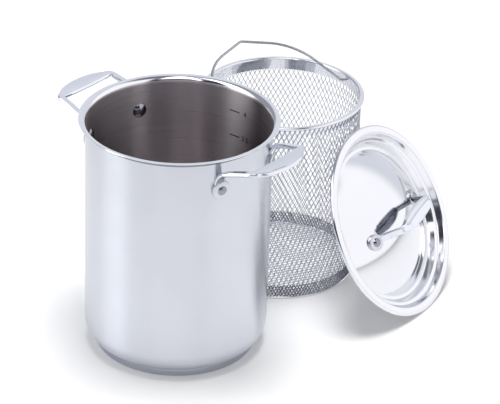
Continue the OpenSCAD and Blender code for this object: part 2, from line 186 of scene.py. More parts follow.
def spin_outline(name, points, smooth_angle=32, steps=SPIN_STEPS):
    """Turns an outline round the upright axis into a closed shell."""
    piece = draw_outline(name, points)
    bpy.ops.mesh.select_all(action="SELECT")
    bpy.ops.mesh.spin(steps=steps, angle=math.tau, center=(0, 0, 0), axis=(0, 0, 1))
    bpy.ops.mesh.select_all(action="SELECT")
    bpy.ops.mesh.remove_doubles(threshold=SAME_PLACE)
    bpy.ops.mesh.normals_make_consistent(inside=False)
    bpy.ops.object.mode_set(mode="OBJECT")
    bpy.ops.object.shade_smooth_by_angle(angle=math.radians(smooth_angle))
    return piece


# %% Put a piece in its place and dress it


def put(piece, matrix):
    """Moves a piece and applies its place, so that its object stays at the origin."""
    nothing_selected()
    piece.select_set(True)
    bpy.context.view_layer.objects.active = piece
    piece.matrix_world = matrix @ piece.matrix_world
    bpy.ops.object.transform_apply(location=True, rotation=True, scale=True)
    return piece


def join(name, pieces):
    """Makes one piece of several."""
    nothing_selected()
    for piece in pieces:
        piece.select_set(True)
    bpy.context.view_layer.objects.active = pieces[0]
    bpy.ops.object.join()
    pieces[0].name = name
    return pieces[0]


def dress(piece, *steels):
    """Gives a piece its finishes, in the order of its material slots."""
    piece.data.materials.clear()
    for one in steels:
        piece.data.materials.append(one)


def stand_for(piece, body, slot, *nodes):
    """The piece rides on a body and is shown in place of its solids."""
    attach(piece, body)
    if nodes:
        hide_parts(*nodes)
    print(piece.name, len(piece.data.polygons), "faces")


print("facets of a spun wall:", round(math.tau * WALL_R / SPIN_STEPS, 1), "mm wide")

# %% [markdown]
# ## Finishes shared by the steels
#
# Every piece is stainless steel, and what differs is how it was finished. Two effects repeat.
# Polishing leaves a haze and a slight waviness. Brushing leaves long fine lines round the
# axis. Each is a node group with named inputs, placed in each material with its own values.

# %% Node group: polish
# Noise seldom leaves the span from low to high. The wave height is in metres.
NOISE_LOW = 0.3
NOISE_HIGH = 0.7
WAVE_SCALE = 22
WAVE_H = 0.0006


def new_group(name, inputs, outputs):
    """A node group with its named inputs and outputs, and nothing between them yet."""
    group = bpy.data.node_groups.new(name, "ShaderNodeTree")
    for label, value in inputs:
        socket = group.interface.new_socket(name=label, in_out="INPUT", socket_type="NodeSocketFloat")
        socket.default_value = value
    for label, kind in outputs:
        group.interface.new_socket(name=label, in_out="OUTPUT", socket_type=kind)
    entry = group.nodes.new("NodeGroupInput")
    leave = group.nodes.new("NodeGroupOutput")
    return group, entry, leave


def make_polish():
    """Haze varies the roughness, and Waviness bends the mirror a little."""
    group, entry, leave = new_group(
        "polish", [("Size", 30), ("Smoothest", 0.05), ("Roughest", 0.12), ("Waviness", 0.02)],
        [("Roughness", "NodeSocketFloat"), ("Normal", "NodeSocketVector")])
    n, link = group.nodes, group.links
    place = n.new("ShaderNodeTexCoord")
    haze = n.new("ShaderNodeTexNoise")
    haze.inputs["Detail"].default_value = 5
    haze.inputs["Roughness"].default_value = 0.62
    span = n.new("ShaderNodeMapRange")
    span.inputs["From Min"].default_value = NOISE_LOW
    span.inputs["From Max"].default_value = NOISE_HIGH
    waves = n.new("ShaderNodeTexNoise")
    waves.inputs["Detail"].default_value = 1
    waves.inputs["Scale"].default_value = WAVE_SCALE
    bump = n.new("ShaderNodeBump")
    bump.inputs["Distance"].default_value = WAVE_H
    link.new(place.outputs["Object"], haze.inputs["Vector"])
    link.new(entry.outputs["Size"], haze.inputs["Scale"])
    link.new(haze.outputs["Fac"], span.inputs["Value"])
    link.new(entry.outputs["Smoothest"], span.inputs["To Min"])
    link.new(entry.outputs["Roughest"], span.inputs["To Max"])
    link.new(span.outputs["Result"], leave.inputs["Roughness"])
    link.new(place.outputs["Object"], waves.inputs["Vector"])
    link.new(waves.outputs["Fac"], bump.inputs["Height"])
    link.new(entry.outputs["Waviness"], bump.inputs["Strength"])
    link.new(bump.outputs["Normal"], leave.inputs["Normal"])
    return group


polish = make_polish()

# %% Node group: brushing
LINE_H = 0.0002


def make_brushing():
    """Fine lines round the upright axis: noise that changes fast with height and slowly along."""
    group, entry, leave = new_group(
        "brushing",
        [("Along", 6), ("Across", 1400), ("Smoothest", 0.25), ("Roughest", 0.42), ("Depth", 0.1)],
        [("Roughness", "NodeSocketFloat"), ("Normal", "NodeSocketVector")])
    n, link = group.nodes, group.links
    place = n.new("ShaderNodeTexCoord")
    stretch = n.new("ShaderNodeCombineXYZ")
    scaled = n.new("ShaderNodeVectorMath")
    scaled.operation = "MULTIPLY"
    lines = n.new("ShaderNodeTexNoise")
    lines.inputs["Scale"].default_value = 1
    lines.inputs["Detail"].default_value = 3
    span = n.new("ShaderNodeMapRange")
    span.inputs["From Min"].default_value = NOISE_LOW
    span.inputs["From Max"].default_value = NOISE_HIGH
    bump = n.new("ShaderNodeBump")
    bump.inputs["Distance"].default_value = LINE_H
    link.new(entry.outputs["Along"], stretch.inputs["X"])
    link.new(entry.outputs["Along"], stretch.inputs["Y"])
    link.new(entry.outputs["Across"], stretch.inputs["Z"])
    link.new(place.outputs["Object"], scaled.inputs[0])
    link.new(stretch.outputs["Vector"], scaled.inputs[1])
    link.new(scaled.outputs["Vector"], lines.inputs["Vector"])
    link.new(lines.outputs["Fac"], span.inputs["Value"])
    link.new(entry.outputs["Smoothest"], span.inputs["To Min"])
    link.new(entry.outputs["Roughest"], span.inputs["To Max"])
    link.new(span.outputs["Result"], leave.inputs["Roughness"])
    link.new(lines.outputs["Fac"], bump.inputs["Height"])
    link.new(entry.outputs["Depth"], bump.inputs["Strength"])
    link.new(bump.outputs["Normal"], leave.inputs["Normal"])
    return group


brushing = make_brushing()
print("node groups:", polish.name, brushing.name)

# %% [markdown]
# ## The steels
#
# A metal's colour is the colour of its mirror image, so a pale grey with a trace of blue gives
# the cold shine of polished stainless steel. The inside's steel is darker and warmer: its
# darkness is painted shade, for light that enters only from above and is dimmed at each bounce.
# Surfaces that look down, the folded cloth and the base disc have darker steels too, as painted
# shade, and the rivets' darker steel is a painted reflection of a studio's dark corners. The
# pot's seam at the foot is dark, and the measuring marks are etched nearly black.

# %% The nodes of a steel
STAIN_TONE = 0.96
STAIN_SCALE = 14
QUARTER_TURN = 0.25


def steel(name, colour, group, values, stretch=0.0):
    """A metal whose roughness and normal come from one of the groups. Stretch draws its
    reflections out along the upright axis, as lines that run round a pot do."""
    material = bpy.data.materials.new(name)
    material.use_nodes = True
    n, link = material.node_tree.nodes, material.node_tree.links
    shader = n["Principled BSDF"]
    shader.inputs["Metallic"].default_value = 1
    if stretch:
        around = n.new("ShaderNodeTangent")
        around.direction_type = "RADIAL"
        around.axis = "Z"
        shader.inputs["Anisotropic"].default_value = stretch
        shader.inputs["Anisotropic Rotation"].default_value = QUARTER_TURN
        link.new(around.outputs["Tangent"], shader.inputs["Tangent"])
    effect = n.new("ShaderNodeGroup")
    effect.node_tree = group
    for label, value in values.items():
        effect.inputs[label].default_value = value
    stain = n.new("ShaderNodeTexNoise")
    stain.inputs["Scale"].default_value = STAIN_SCALE
    stain.inputs["Detail"].default_value = 4
    place = n.new("ShaderNodeTexCoord")
    tones = n.new("ShaderNodeValToRGB")
    tones.color_ramp.elements[0].position = NOISE_LOW
    tones.color_ramp.elements[1].position = NOISE_HIGH
    tones.color_ramp.elements[0].color = (*[c * STAIN_TONE for c in colour], 1)
    tones.color_ramp.elements[1].color = (*colour, 1)
    link.new(place.outputs["Object"], stain.inputs["Vector"])
    link.new(stain.outputs["Fac"], tones.inputs["Fac"])
    link.new(tones.outputs["Color"], shader.inputs["Base Color"])
    link.new(effect.outputs["Roughness"], shader.inputs["Roughness"])
    link.new(effect.outputs["Normal"], shader.inputs["Normal"])
    return material


# %% Make the steels
polished_steel = steel("polished_steel", (0.79, 0.80, 0.84), polish,
                       {"Size": 26, "Smoothest": 0.05, "Roughest": 0.1, "Waviness": 0.05})
body_steel = steel("body_steel", (0.655, 0.675, 0.73), polish,
                   {"Size": 26, "Smoothest": 0.23, "Roughest": 0.26, "Waviness": 0.01}, stretch=1.0)
# Painted shade under the rim's lip, and the dark seam at the foot.
lip_shade_and_seam_steel = steel("lip_shade_and_seam_steel", (0.24, 0.25, 0.29), polish,
                   {"Size": 60, "Smoothest": 0.3, "Roughest": 0.42, "Waviness": 0.05})
# Painted shade under the castings: their lower halves are darker.
under_painted_shade_steel = steel("under_painted_shade_steel", (0.25, 0.26, 0.3), polish,
                    {"Size": 90, "Smoothest": 0.16, "Roughest": 0.26, "Waviness": 0.1})
lid_steel = steel("lid_steel", (0.79, 0.80, 0.835), polish,
                  {"Size": 26, "Smoothest": 0.07, "Roughest": 0.11, "Waviness": 0.012})
cast_steel = steel("cast_steel", (0.74, 0.76, 0.82), polish,
                   {"Size": 90, "Smoothest": 0.05, "Roughest": 0.1, "Waviness": 0.05})
# The rivets' dark steel is a painted reflection of dark studio corners.
rivet_steel = steel("rivet_steel", (0.33, 0.33, 0.37), polish,
                    {"Size": 120, "Smoothest": 0.05, "Roughest": 0.09, "Waviness": 0.05})
drawn_wire = steel("drawn_wire", (0.56, 0.58, 0.65), polish,
                   {"Size": 300, "Smoothest": 0.1, "Roughest": 0.2, "Waviness": 0.05})
# Painted shade of the dense fold: its wire steel is darker.
fold_painted_shade_steel = steel("fold_painted_shade_steel", (0.3, 0.31, 0.34), polish,
                   {"Size": 300, "Smoothest": 0.14, "Roughest": 0.26, "Waviness": 0.05})
bail_steel = steel("bail_steel", (0.42, 0.43, 0.45), polish,
                   {"Size": 200, "Smoothest": 0.2, "Roughest": 0.32, "Waviness": 0.05})
# The inside's steel is darker: painted shade for light that enters only from above.
satin_painted_shade_steel = steel("satin_painted_shade_steel", (0.56, 0.525, 0.545), brushing,
                    {"Along": 7, "Across": 2600, "Smoothest": 0.27, "Roughest": 0.3, "Depth": 0.015},
                    stretch=1.0)
mark_steel = steel("mark_steel", (0.03, 0.03, 0.035), polish,
                   {"Size": 300, "Smoothest": 0.5, "Roughest": 0.7, "Waviness": 0.05})
# The base disc's darker steel is painted shade at the foot.
base_steel = steel("base_steel", (0.5, 0.52, 0.59), polish,
                   {"Size": 40, "Smoothest": 0.12, "Roughest": 0.2, "Waviness": 0.02})
print("materials:", len(bpy.data.materials))

# %% [markdown]
# ## The pot
#
# The body is one sheet, one millimetre thick: a flat floor, a round corner, a straight wall
# and a rim that turns outwards, so that it pours cleanly and stiffens the edge. Its section is
# a closed outline that runs up the outside and back down the inside. Its faces then get their
# finishes by place: satin inside, darkened as painted shade, polish at the rim, painted shade on
# the faces under the lip, and a dark seam at the foot.

# %% The pot's outline and its finishes
FLOOR_RING_R = 30.0
CORNER_STEPS = 24
FLARE_STEPS = 20
LIP_ROUND = 0.28
BRIGHT_RIM_H = 2.5
SEAM_H = 2.0
LOOKS_UP = 0.5
LOOKS_DOWN = -0.02
INSIDE_TOP = POT_H - BRIGHT_RIM_H
RIM_LOW = POT_H - WALL_T - FLARE_R
SEAM_TOP = BASE_T + SEAM_H


def pot_outline():
    corner = (WALL_R - CORNER_R, BASE_T + CORNER_R)
    flare = (WALL_R + FLARE_R, RIM_LOW)
    lip = 180 - FLARE_TURN
    outside = [(0.0, BASE_T), (FLOOR_RING_R, BASE_T)]
    outside += arc(corner, CORNER_R, -90, 0, CORNER_STEPS)
    outside += arc(flare, FLARE_R, 180, lip, FLARE_STEPS)
    middle = arc(flare, FLARE_R + WALL_T / 2, lip, lip, 1)[0]
    edge = [(middle[0] + LIP_ROUND, middle[1])]
    inside = arc(flare, FLARE_R + WALL_T, lip, 180, FLARE_STEPS)
    inside += arc(corner, CORNER_R - WALL_T, 0, -90, CORNER_STEPS)
    inside += [(FLOOR_RING_R, BASE_T + WALL_T), (0.0, BASE_T + WALL_T)]
    return outside + edge + inside


def pot_finish(face):
    """Slot of a face: 0 body, 1 satin, 2 painted shade under the lip and the dark seam, 3 polished."""
    centre = face.center / MM
    across = math.hypot(centre.x, centre.y)
    inward = face.normal.x * centre.x + face.normal.y * centre.y < 0
    floor = face.normal.z > LOOKS_UP and centre.z < CORNER_R
    if centre.z < INSIDE_TOP and (floor or (inward and across < WALL_R - WALL_T / 2)):
        return 1
    # Faces that look down under the lip get painted shade, and those just above the base are the dark
    # seam.
    if face.normal.z < LOOKS_DOWN and (centre.z > RIM_LOW or BASE_T < centre.z < SEAM_TOP):
        return 2
    return 3 if centre.z > RIM_LOW else 0


# %% Pot body
pot_shell = spin_outline("pot_shell", pot_outline())
dress(pot_shell, body_steel, satin_painted_shade_steel, lip_shade_and_seam_steel, polished_steel)
for face in pot_shell.data.polygons:
    face.material_index = pot_finish(face)
stand_for(pot_shell, "pot", "polished_steel", "pot_body")

# %% [markdown]
# ## Measuring marks
#
# Two short lines inside show how far to fill. The plain number beside each says how many quarts
# the pot holds below that line. They are cut flat, then bent onto the wall.

# %% Measuring marks
# Each mark is (number, height, direction of its line, direction of its number), in degrees.
MARKS = [("4", 192.5, 92.3, 83.8), ("3.5", 168.5, 91.7, 83.1)]
DIGIT_H = 7.0
LINE_L = 11.0
LINE_W = 1.0
MARK_T = 0.12
MARK_CUTS = 8


def bent_onto_wall(piece, height, turn):
    """Lays a flat piece, drawn in millimetres in the XY plane, on the inside of the wall."""
    for vertex in piece.data.vertices:
        across, up, out = vertex.co
        radius = WALL_R - WALL_T - out
        angle = math.radians(turn) - across / radius
        vertex.co = Vector((radius * math.cos(angle), radius * math.sin(angle), height + up)) * MM
    return piece


def number(words, height, turn):
    """Digits of a mark. Text becomes a mesh before it is bent."""
    nothing_selected()
    bpy.ops.object.text_add(location=(0, 0, 0))
    digits = bpy.context.object.data
    digits.body = words
    digits.size = DIGIT_H
    digits.extrude = MARK_T
    digits.align_x = "CENTER"
    digits.align_y = "CENTER"
    bpy.ops.object.convert(target="MESH")
    return bent_onto_wall(bpy.context.object, height, turn)


def line(height, turn):
    """Line of a mark, cut across so often that it can bend."""
    nothing_selected()
    bpy.ops.mesh.primitive_cube_add(size=1, scale=(LINE_L, LINE_W, 2 * MARK_T))
    bpy.ops.object.transform_apply(location=True, rotation=True, scale=True)
    bpy.ops.object.mode_set(mode="EDIT")
    bpy.ops.mesh.subdivide(number_cuts=MARK_CUTS)
    bpy.ops.object.mode_set(mode="OBJECT")
    return bent_onto_wall(bpy.context.object, height, turn)


pieces = []
for words, height, line_turn, number_turn in MARKS:
    pieces += [line(height, line_turn), number(words, height, number_turn)]
level_marks = join("level_marks", pieces)
dress(level_marks, mark_steel)
stand_for(level_marks, "pot", "polished_steel")

# %% [markdown]
# ## The base disc
#
# A thick disc of aluminium under a steel cap spreads the heat. Outside only its rounded lower
# edge and the thin seam under the pot's corner show, so its solid stays and gets a finish.

# %% Base disc
base_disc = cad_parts["base_disc"]
# Its darker steel is painted shade round the foot.
dress(base_disc, base_steel)
print("base_disc keeps its solid, in", base_steel.name)

# %% [markdown]
# ## Cast handles
#
# Each handle is one casting. A strap rises from a round pad, bends away from the wall and
# widens into a grip with an oval dish in its top. It is modelled as a sculptor would build it
# from ribs: one rounded section, extruded from station to station, then subdivided, so that
# the dish and the edges get soft highlights.

# %% Stations and section of a casting
GRIP_L = 65.0
GRIP_T = 5.6
ARM_W = 7.0
ARM_T = 4.3
DISH_L = 52.0
DISH_W = 14.0
DISH_DEPTH = 1.8
TOP_OFFSETS = [0.95, 0.86, 0.74, 0.5, 0.2, -0.2, -0.5, -0.74, -0.86, -0.95]
UNDER_STEPS = 7
ROUND_FROM = 0.72
ROUND_SPAN = 0.22
ROUND_DROP = 0.36
CAST_SMOOTH = math.radians(40)


def mix(a, b, t):
    """The value that lies the share t of the way from a to b."""
    return a + (b - a) * t


def grip_station(y, width, top, inner, straight):
    """Station of a grip at y. It narrows about its inner edge if that is straight, or else
    about its middle."""
    swell = math.sqrt(max(0.0, 1 - (2 * y / GRIP_L) ** 2))
    wide = max(ARM_W, width * swell)
    thick = mix(ARM_T, GRIP_T, swell)
    return [inner + (wide if straight else width) / 2, y, top - thick / 2, wide, thick, 1]


def between(stations, steps):
    """Stations along a smooth curve through the given ones."""
    out = []
    last = len(stations) - 1
    for i in range(last):
        a, b = stations[max(i - 1, 0)], stations[i]
        c, d = stations[i + 1], stations[min(i + 2, last)]
        for j in range(steps):
            t = j / steps
            out.append([0.5 * (2 * q + (r - p) * t + (2 * p - 5 * q + 4 * r - s) * t * t
                               + (3 * q - p - 3 * r + s) * t ** 3) for p, q, r, s in zip(a, b, c, d)])
    return out + [list(stations[last])]


def dish(y, x):
    """Depth of the grip's oval dish at a place."""
    return DISH_DEPTH * max(0.0, 1 - (2 * y / DISH_L) ** 2 - (2 * x / DISH_W) ** 2)


def section(width, thick, y):
    """Offsets across and up: a level top with rounded edges and a dish, a half oval below."""
    points = []
    for u in TOP_OFFSETS:
        drop = ROUND_DROP * (max(0.0, abs(u) - ROUND_FROM) / ROUND_SPAN) ** 2
        points.append((u * width / 2, thick * (0.5 - drop) - dish(y, u * width / 2)))
    for i in range(UNDER_STEPS):
        a = math.pi + math.pi * i / (UNDER_STEPS - 1)
        points.append((math.cos(a) * width / 2, math.sin(a) * thick / 2))
    return points


# %% Ribs of a casting


def ribs(stations, steps=3):
    """The sections of a handle as rings of points, in millimetres."""
    half = [list(s) for s in stations]
    path = between(half + [[s[0], -s[1], *s[2:]] for s in half[-2::-1]], steps)
    rings = []
    for i, (x, y, z, width, thick, k) in enumerate(path):
        ahead = Vector(path[min(i + 1, len(path) - 1)][:3])
        tangent = (ahead - Vector(path[max(i - 1, 0)][:3])).normalized()
        inwards = -Vector((x, y, 0)).normalized() if k < 1 else Vector((0, 0, 0))
        guide = Vector((0, 0, 1)) if k >= 1 else k * Vector((0, 0, 1)) + (1 - k) * inwards
        up = (guide - tangent * guide.dot(tangent)).normalized()
        side = up.cross(tangent)
        centre = Vector((x, y, z))
        rings.append([centre + side * a + up * b for a, b in section(width, thick, y)])
    return rings


# %% Extrude the ribs and subdivide


def extrude_ribs(name, rings):
    """Extrudes one ring of edges from rib to rib and closes both ends. Faces whose points all
    lie in the lower half of the section get the second material."""
    nothing_selected()
    bpy.ops.mesh.primitive_circle_add(vertices=len(rings[0]), radius=MM)
    piece = bpy.context.object
    piece.name = name
    bpy.ops.object.mode_set(mode="EDIT")
    for i, ring in enumerate(rings):
        if i:
            bpy.ops.mesh.extrude_region_move(TRANSFORM_OT_translate={"value": (0, 0, 0)})
        mesh = bmesh.from_edit_mesh(piece.data)
        mesh.verts.ensure_lookup_table()
        for point, vert in zip(ring, mesh.verts[i * len(ring):]):
            vert.co = point * MM
        bmesh.update_edit_mesh(piece.data)
    bpy.ops.mesh.edge_face_add()
    mesh = bmesh.from_edit_mesh(piece.data)
    mesh.verts.ensure_lookup_table()
    bpy.ops.mesh.select_all(action="DESELECT")
    for vert in mesh.verts[:len(rings[0])]:
        vert.select = True
    mesh.select_flush(True)
    bmesh.update_edit_mesh(piece.data)
    bpy.ops.mesh.edge_face_add()
    bpy.ops.mesh.select_all(action="SELECT")
    bpy.ops.mesh.normals_make_consistent(inside=False)
    bpy.ops.object.mode_set(mode="OBJECT")
    dress(piece, cast_steel, under_painted_shade_steel)
    # The lower half of each section gets the darker steel, a painted shade under the casting.
    lowest = range(len(TOP_OFFSETS) + 1, len(rings[0]) - 1)
    for face in piece.data.polygons:
        if all(corner % len(rings[0]) in lowest for corner in face.vertices):
            face.material_index = 1
    return piece


def subdivide(piece, levels=2):
    """Rounds a casting, and keeps only its sharpest edges sharp."""
    modifier = piece.modifiers.new("finer", "SUBSURF")
    modifier.levels = levels
    modifier.render_levels = levels
    bpy.context.view_layer.objects.active = piece
    bpy.ops.object.modifier_apply(modifier=modifier.name)
    bpy.ops.object.shade_smooth_by_angle(angle=CAST_SMOOTH)
    return piece


print("section of the castings:", len(TOP_OFFSETS) + UNDER_STEPS, "points")

# %% [markdown]
# ## Side handles
#
# The strap hugs the wall above its rivet and comes away just below the rim. Both handles are
# the same casting, modelled once on the +X side and copied with half a turn.

# %% Shape of the side handle
RIVET_DROP = 30.0
RIVET_GAP = 66.0
PAD_T = 3.2
GRIP_REACH = 41.5
GRIP_W = 18.0
GRIP_DROP = 3.0
GRIP_PLACES = (0.84, 0.6, 0.4, 0.2, 0)
ARM_Y = 35.5
CORNER_Y = 32.5
ARM_FALL = 6.5
PAD_R = 8.5
RIVET_Z = POT_H - RIVET_DROP
RIVET_TURN = math.asin(RIVET_GAP / 2 / WALL_R)
STRAP_SINK = 1.0
PAD_PROUD = 0.5
PAD_SINK = 1.0
PAD_EDGE = 0.9
ROUND_STEPS = 48


def beside_wall(out):
    """How far along X a point at the arm's Y lies that is this far out from the wall."""
    return math.sqrt((WALL_R + out) ** 2 - ARM_Y ** 2)


def side_stations():
    """Rows of x, y, z, width, thickness, and 1 where the top looks up or 0 where it faces the
    wall. The first rows follow the arm, by shares of its way, and the rest the grip."""
    inner = WALL_R + GRIP_REACH - GRIP_W
    top = RIVET_DROP - GRIP_DROP
    high = top - ARM_T / 2
    low = high - ARM_FALL
    strap = PAD_T + STRAP_SINK - PAD_PROUD
    start, corner = beside_wall(10), inner + ARM_W / 2
    against = strap / 2 - STRAP_SINK
    arms = [
        [beside_wall(against), ARM_Y, -1, ARM_W + 2, strap, 0],
        [beside_wall(against + 0.4), ARM_Y, low * 0.45, ARM_W + 1, strap + 0.6, 0],
        [beside_wall(4.5), ARM_Y, low * 0.82, ARM_W, ARM_T + 0.4, 0.45],
        [start, ARM_Y, low, ARM_W, ARM_T, 1],
        [mix(start, corner, 0.55), mix(ARM_Y, CORNER_Y, 0.6), mix(low, high, 0.6), ARM_W, ARM_T, 1],
        [mix(start, corner, 0.96), CORNER_Y, high, ARM_W, ARM_T, 1],
    ]
    return arms + [grip_station(y * GRIP_L / 2, GRIP_W, top, inner, True) for y in GRIP_PLACES]


def rivet_pad(radius, thick):
    """A round pad with a soft upper edge, on the XY plane."""
    outline = [(0.0, -PAD_SINK), (radius, -PAD_SINK)]
    outline += arc((radius - PAD_EDGE, thick - PAD_EDGE), PAD_EDGE, 0, 90, steps=5)
    pad = spin_outline("pad", outline + [(0.0, thick)], steps=ROUND_STEPS)
    dress(pad, body_steel)
    return pad


def on_wall(turn, out):
    """A place on the wall at the rivets' height, with +Z pointing out of the wall."""
    return (Matrix.Rotation(turn, 4, "Z") @ Matrix.Translation(Vector((out, 0, RIVET_Z)) * MM)
            @ Matrix.Rotation(math.pi / 2, 4, "Y"))


# %% Side handles


def side_handle():
    """One casting: the strap with its grip, and the two pads."""
    strap = subdivide(extrude_ribs("strap", ribs(side_stations())))
    strap = put(strap, Matrix.Translation((0, 0, RIVET_Z * MM)))
    pads = [put(rivet_pad(PAD_R, PAD_T), on_wall(turn, WALL_R)) for turn in (-RIVET_TURN, RIVET_TURN)]
    return join("right_loop", [strap] + pads)


right_loop = side_handle()
left_loop = right_loop.copy()
left_loop.data = right_loop.data.copy()
left_loop.name = "left_loop"
bpy.context.scene.collection.objects.link(left_loop)
put(left_loop, Matrix.Rotation(math.pi, 4, "Z"))
stand_for(right_loop, "pot", "cast_steel", "right_handle")
stand_for(left_loop, "pot", "cast_steel", "left_handle")

# %% [markdown]
# ## Rivets
#
# Each rivet has a small head on the pad and a large domed head inside the pot, where food is
# stirred past it. Both heads are arcs turned round the rivet's axis.

# %% Rivets
HEAD_R = 4.2
HEAD_H = 1.8
INNER_HEAD_R = 6.5
INNER_HEAD_H = 2.6
SHANK_R = 2.5
HEAD_LIFT = 0.4


def dome(radius, height, base, steps=10):
    """Outline of a domed head, from its edge up to the axis."""
    ball = (radius * radius + height * height) / (2 * height)
    spread = math.degrees(math.asin(radius / ball))
    return arc((0.0, base + height - ball), ball, 90 - spread, 90, steps)


def rivet(name, length, head, inner_head):
    """A rivet on +Z: the outer head at z = length, the inner head upside down below zero."""
    outer = dome(head[0], head[1], length)
    inner = [(x, -z) for x, z in dome(inner_head[0], inner_head[1], HEAD_LIFT)]
    outline = inner[::-1] + [(inner_head[0], 0.0), (SHANK_R, 0.0), (SHANK_R, length)] + outer
    outline[-1] = (0.0, outer[-1][1])
    outline[0] = (0.0, inner[-1][1])
    return spin_outline(name, outline, steps=ROUND_STEPS)


side_rivets = []
for side in (0, math.pi):
    for turn in (-RIVET_TURN, RIVET_TURN):
        one = rivet("rivet", WALL_T + PAD_T, (HEAD_R, HEAD_H), (INNER_HEAD_R, INNER_HEAD_H))
        side_rivets.append(put(one, on_wall(side + turn, WALL_R - WALL_T)))
side_rivets = join("side_rivets", side_rivets)
# Darker steel on the rivets: a painted reflection.
dress(side_rivets, rivet_steel)
stand_for(side_rivets, "pot", "rivet_steel", "handle_rivets")

# %% [markdown]
# ## The lid
#
# The lid is pressed from one sheet. Its flange lies on the pot's rim, a step with a narrow
# ledge drops inside the pot, and from the channel a shallow dome rises again. In the
# photograph it stands on its edge and leans on the basket, so the whole lid is made lying flat
# and then put in place with one matrix.

# %% Lid shell
BASKET_PLACE = Vector((-17.145, 165.906, 0.0))
LID_LEAN = math.radians(29.1)
LID_DIR = math.radians(8.8)
LID_SPIN = math.radians(7)
LID_R = 88.59
LID_EDGE = 2.8
LID_T = 1.0
STEP_R = 78.2
STEP_H = 6.0
STEP_SLANT = 2.4
LEDGE_W = 3.6
LEDGE_FALL = 0.5
CHANNEL_H = 13.0
CHANNEL_W = 3.4
EDGE_BEND = 2.2
FLANGE_BEND = 2
LEDGE_BEND = 1.3
CHANNEL_BEND = 1.5
BEND_STEPS = 8
DOME_R = 68.0
DOME_RISE = 21.0
DOME_STEPS = 40
MESH_OUT = 72.2
SEAT = 0.3
DOME_BALL = (DOME_R ** 2 + DOME_RISE ** 2) / (2 * DOME_RISE)
DOME_C = DOME_RISE - CHANNEL_H - DOME_BALL


def lid_outline():
    """Upper line of the lid, from its edge to the top of the dome, made as thick as the sheet."""
    spread = math.asin(DOME_R / DOME_BALL)
    turns = [spread * (1 - i / DOME_STEPS) for i in range(1, DOME_STEPS + 1)]
    cap = [(DOME_BALL * math.sin(a), DOME_C + DOME_BALL * math.cos(a), 0) for a in turns]
    corners = [
        (LID_R, -LID_EDGE, 0),
        (LID_R, 0, EDGE_BEND),
        (STEP_R + STEP_SLANT, 0, FLANGE_BEND),
        (STEP_R, -STEP_H, LEDGE_BEND),
        (STEP_R - LEDGE_W, -STEP_H - LEDGE_FALL, LEDGE_BEND),
        (DOME_R + CHANNEL_W, -CHANNEL_H, CHANNEL_BEND),
        (DOME_R, -CHANNEL_H, CHANNEL_BEND),
    ]
    return thickened(rounded(corners + cap, BEND_STEPS), LID_T)


def lid_matrix(outline):
    """Stands the lid on its edge, leaning so far that its channel meets the mesh."""
    low = max(x * math.cos(LID_LEAN) - z * math.sin(LID_LEAN) for x, z in outline)
    far = MESH_OUT + SEAT + max(x * math.sin(LID_LEAN) - z * math.cos(LID_LEAN) for x, z in outline)
    foot = BASKET_PLACE + Vector((far * math.cos(LID_DIR), far * math.sin(LID_DIR), low))
    return (Matrix.Translation(foot * MM) @ Matrix.Rotation(LID_DIR, 4, "Z")
            @ Matrix.Rotation(math.pi / 2 - LID_LEAN, 4, "Y") @ Matrix.Rotation(LID_SPIN, 4, "Z"))


lid_leaning = lid_matrix(lid_outline())
lid_shell = put(spin_outline("lid_shell", lid_outline(), smooth_angle=40), lid_leaning)
dress(lid_shell, lid_steel)
stand_for(lid_shell, "pot", "polished_steel", "lid")

# %% [markdown]
# ## The lid's handle
#
# It is the side handle's casting again, on pads that follow the dome, with steeper arms.

# %% Lid handle and its rivets
LID_RIVET_GAP = 81.0
LID_RIVET_TURN = math.asin(LID_RIVET_GAP / 2 / DOME_BALL)
LID_GRIP_H = 30.0
LID_GRIP_W = 17.0
LID_GRIP_PLACES = (0.68, 0.5, 0.33, 0.16, 0)
LID_PAD_R = 7.5
LID_HEAD_R = 5.5
LID_HEAD_H = 2.2


def on_dome(turn):
    """A place on the dome, with +Z pointing out of it."""
    return (Matrix.Translation((0, 0, DOME_C * MM)) @ Matrix.Rotation(turn, 4, "X")
            @ Matrix.Translation((0, 0, DOME_BALL * MM)))


def lid_stations():
    """Rows as those of the side handle, with the pads on the Y axis and the grip above it."""
    pad_y = LID_RIVET_GAP / 2
    pad_z = DOME_C + (DOME_BALL + PAD_T / 2) * math.cos(LID_RIVET_TURN)
    rise = LID_GRIP_H - ARM_T / 2 - pad_z
    arms = [
        [0, pad_y, pad_z, ARM_W + 2, PAD_T, 1],
        [0, pad_y - 4.5, pad_z + 1.6, ARM_W + 1, ARM_T - 0.3, 1],
        [0, pad_y - 8, pad_z + rise * 0.28, ARM_W, ARM_T, 1],
        [0, pad_y - 10.5, pad_z + rise * 0.62, ARM_W, ARM_T, 1],
        [0, pad_y - 13, pad_z + rise * 0.92, ARM_W + 0.5, ARM_T, 1],
    ]
    return arms + [grip_station(y * GRIP_L / 2, LID_GRIP_W, LID_GRIP_H, -LID_GRIP_W / 2, False)
                   for y in LID_GRIP_PLACES]


lid_strap = subdivide(extrude_ribs("lid_strap", ribs(lid_stations())))
lid_pads = [put(rivet_pad(LID_PAD_R, PAD_T), on_dome(turn))
            for turn in (-LID_RIVET_TURN, LID_RIVET_TURN)]
lid_loop = put(join("lid_loop", [lid_strap] + lid_pads), lid_leaning)
stand_for(lid_loop, "pot", "cast_steel", "lid_handle")

dome_rivets = []
for turn in (-LID_RIVET_TURN, LID_RIVET_TURN):
    one = rivet("rivet", LID_T + PAD_T, (HEAD_R, HEAD_H), (LID_HEAD_R, LID_HEAD_H))
    dome_rivets.append(put(one, on_dome(turn) @ Matrix.Translation((0, 0, -LID_T * MM))))
dome_rivets = put(join("dome_rivets", dome_rivets), lid_leaning)
dress(dome_rivets, rivet_steel)
stand_for(dome_rivets, "pot", "rivet_steel", "lid_rivets")

